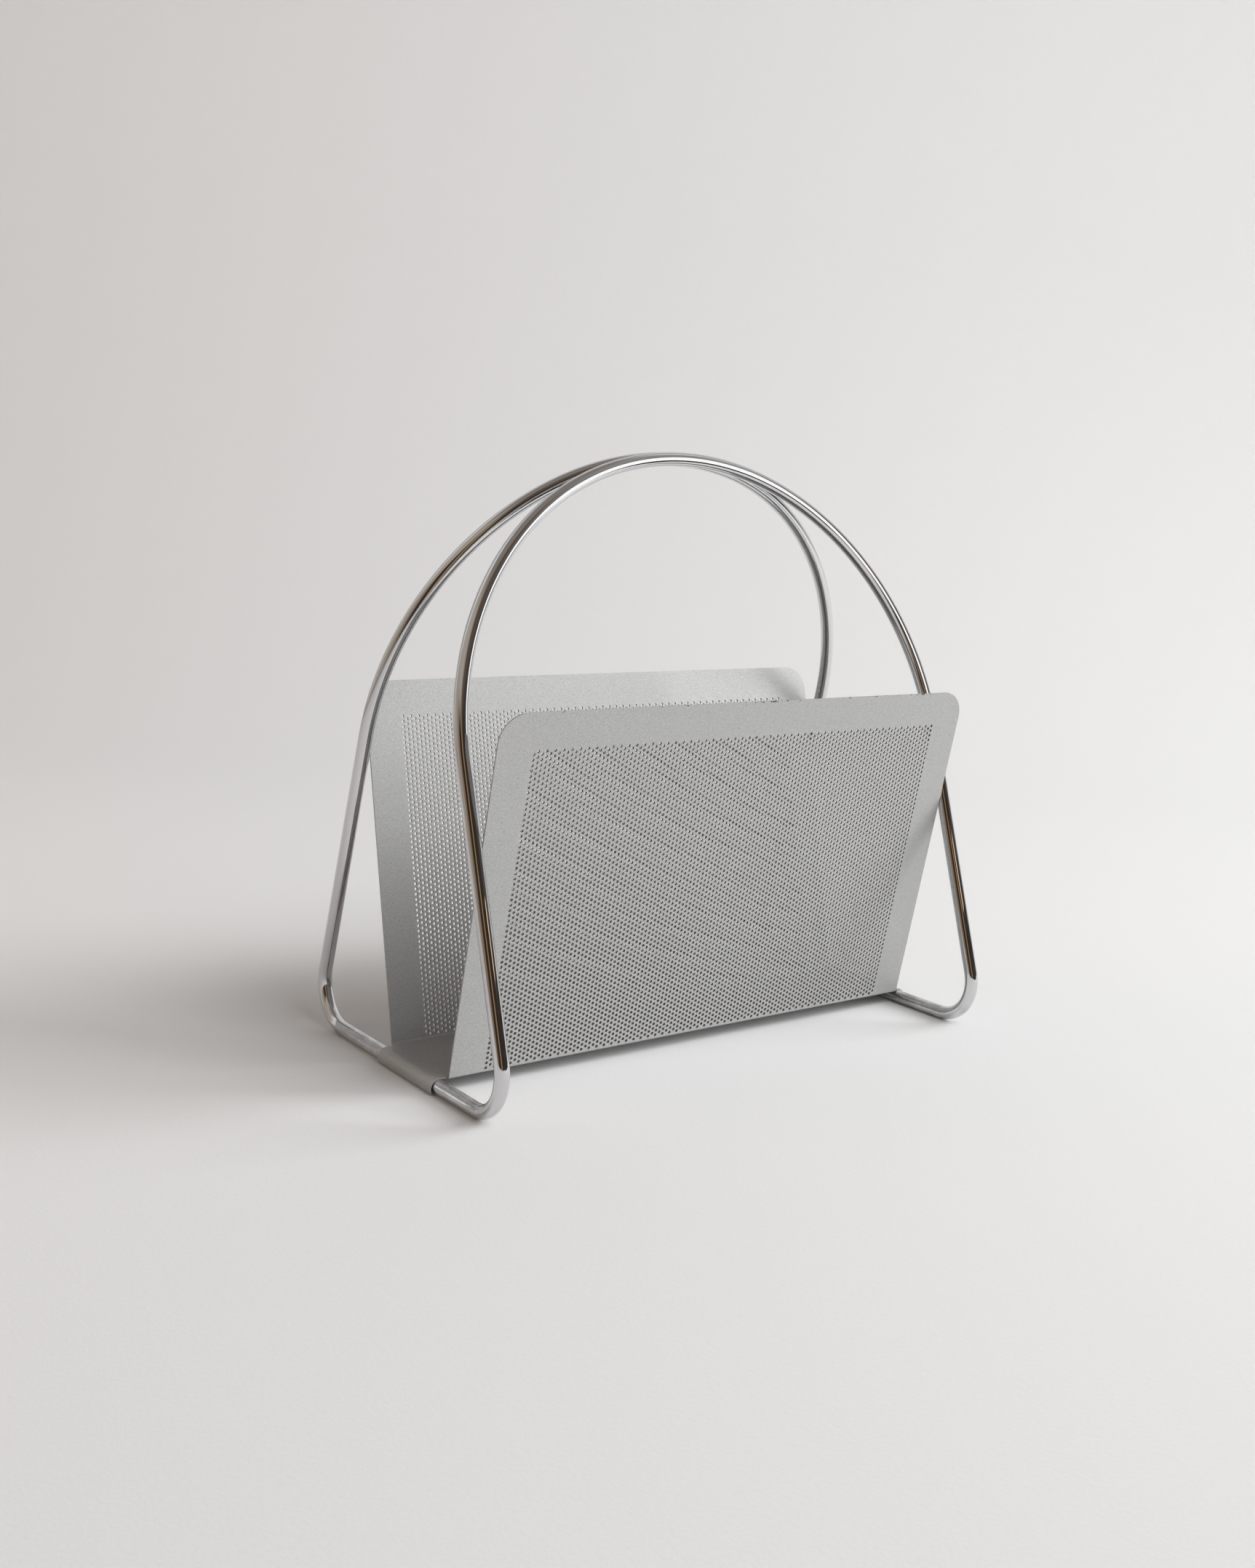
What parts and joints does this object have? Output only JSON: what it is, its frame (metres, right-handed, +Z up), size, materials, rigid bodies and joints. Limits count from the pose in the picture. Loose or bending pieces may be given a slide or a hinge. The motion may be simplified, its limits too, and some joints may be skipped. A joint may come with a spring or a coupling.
{
  "type": "magazine rack",
  "caption": "Free-standing magazine rack: a folded sheet-metal basket with leaning panels, hooked over two chromed tube hoops that meet as a carrying handle.",
  "frame": {"origin": "on the floor, in the middle of the four feet", "axes": "+X along the panels to the right, +Y to the rear, +Z up"},
  "size_m": [0.4334, 0.2584, 0.4279],
  "materials": {
    "chromed_tube": "bright chrome plate",
    "joint_steel": "turned steel, hidden in the tubes",
    "silver_paint": "satin silver-grey powder coat with a fine speckle"
  },
  "bodies": {
    "frame": {"front_hoop": "chromed_tube", "rear_hoop": "chromed_tube", "left_joint_spigot": "joint_steel", "right_joint_spigot": "joint_steel"},
    "basket": {"basket": "silver_paint"}
  },
  "joints": [
    {"name": "basket_slide", "type": "slide", "parent": "frame", "child": "basket", "axis": [0, 1, 0], "range_m": [-0.01, 0.03]}
  ]
}
